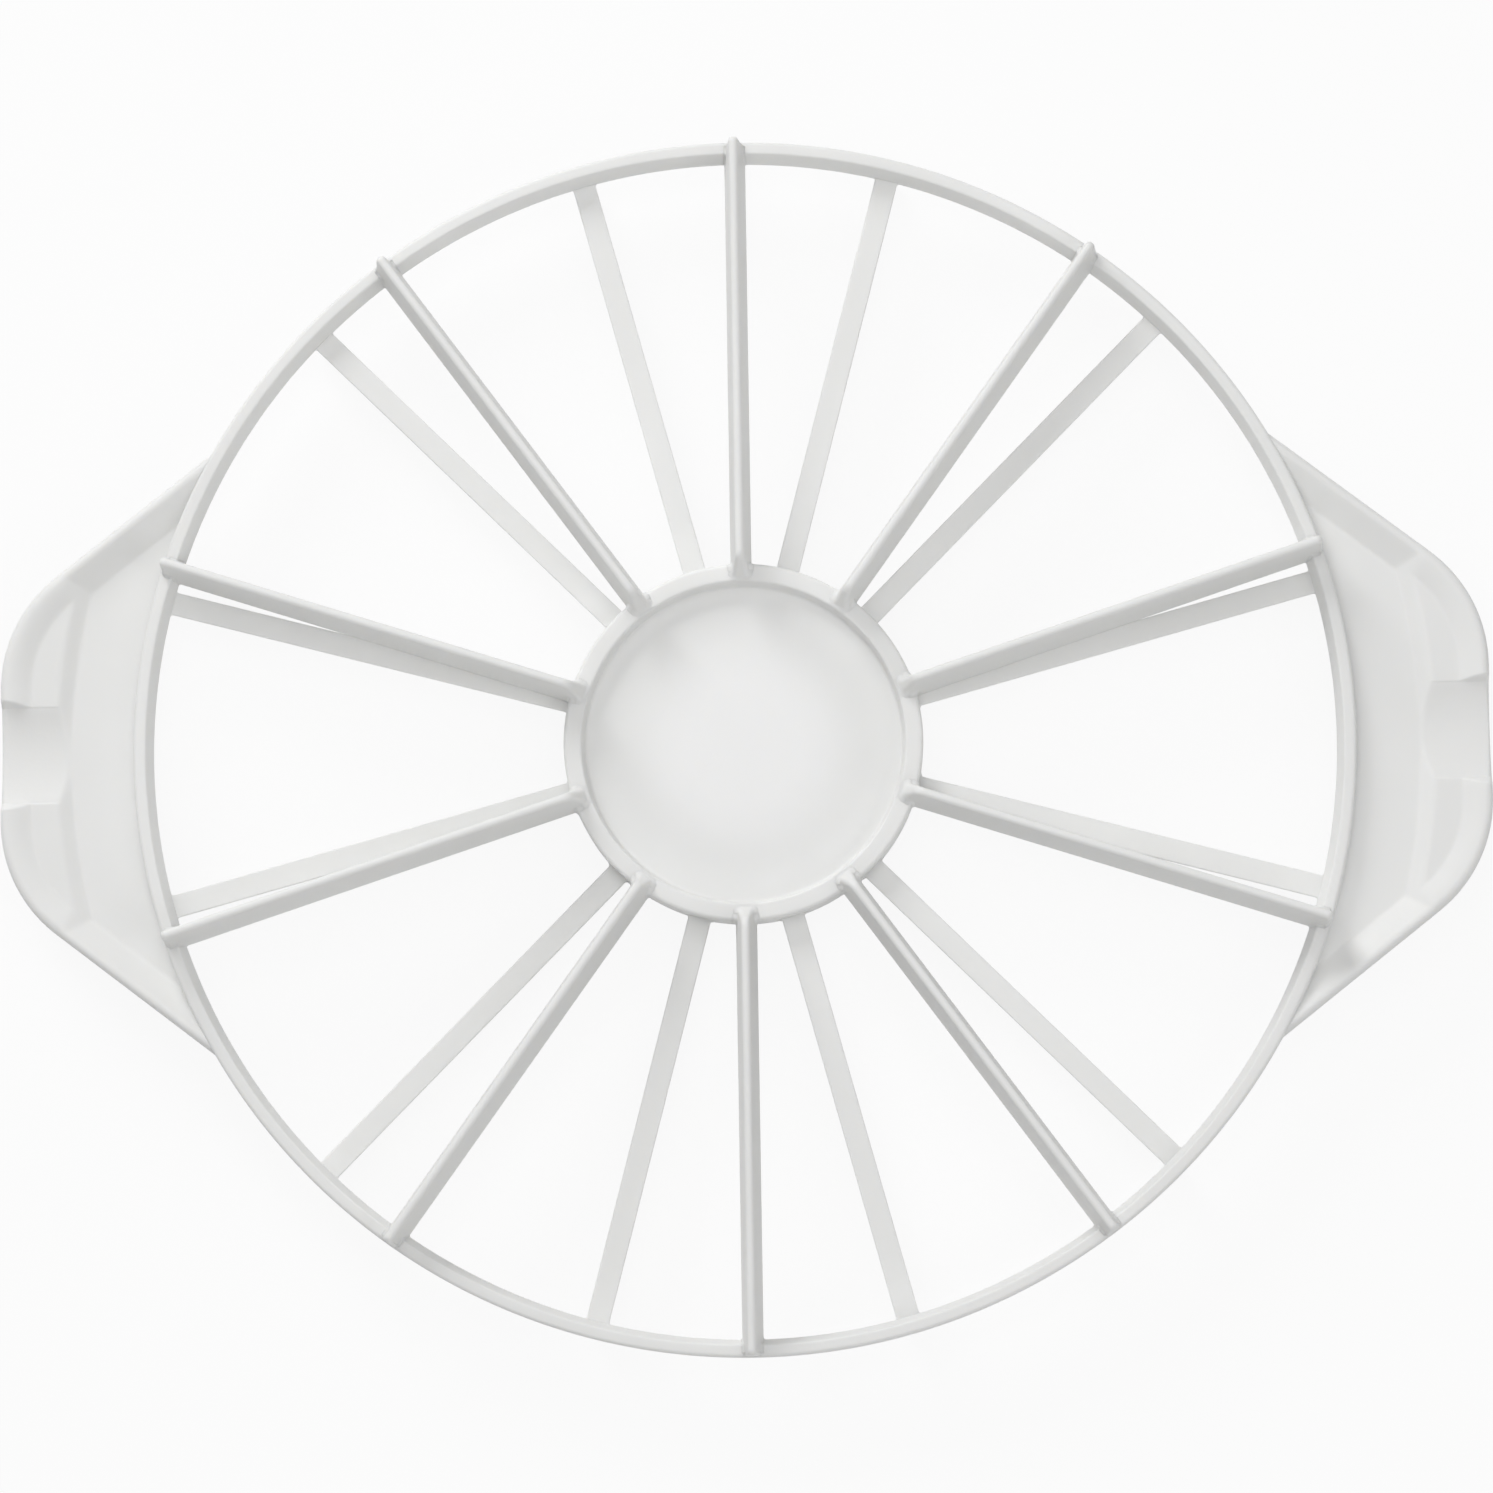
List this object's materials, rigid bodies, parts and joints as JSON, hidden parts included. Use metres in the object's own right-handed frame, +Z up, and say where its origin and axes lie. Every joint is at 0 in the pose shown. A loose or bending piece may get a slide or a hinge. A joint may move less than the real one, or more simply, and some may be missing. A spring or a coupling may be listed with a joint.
{
  "type": "cake portion marker",
  "caption": "Round moulded plastic marker with a hub, radial blades on both faces and side handles, pressed into a round cake to mark equal portions.",
  "frame": {"origin": "centre of the hub, level with the crests of the lower blades, which rest on the table", "axes": "+Z up through the hub, +X through the middle of one handle, +Y across the ring"},
  "size_m": [0.311, 0.255, 0.026],
  "materials": {
    "plastic": "satin moulded white polypropylene"
  },
  "bodies": {
    "root": {"portion_marker": "plastic"}
  },
  "joints": []
}
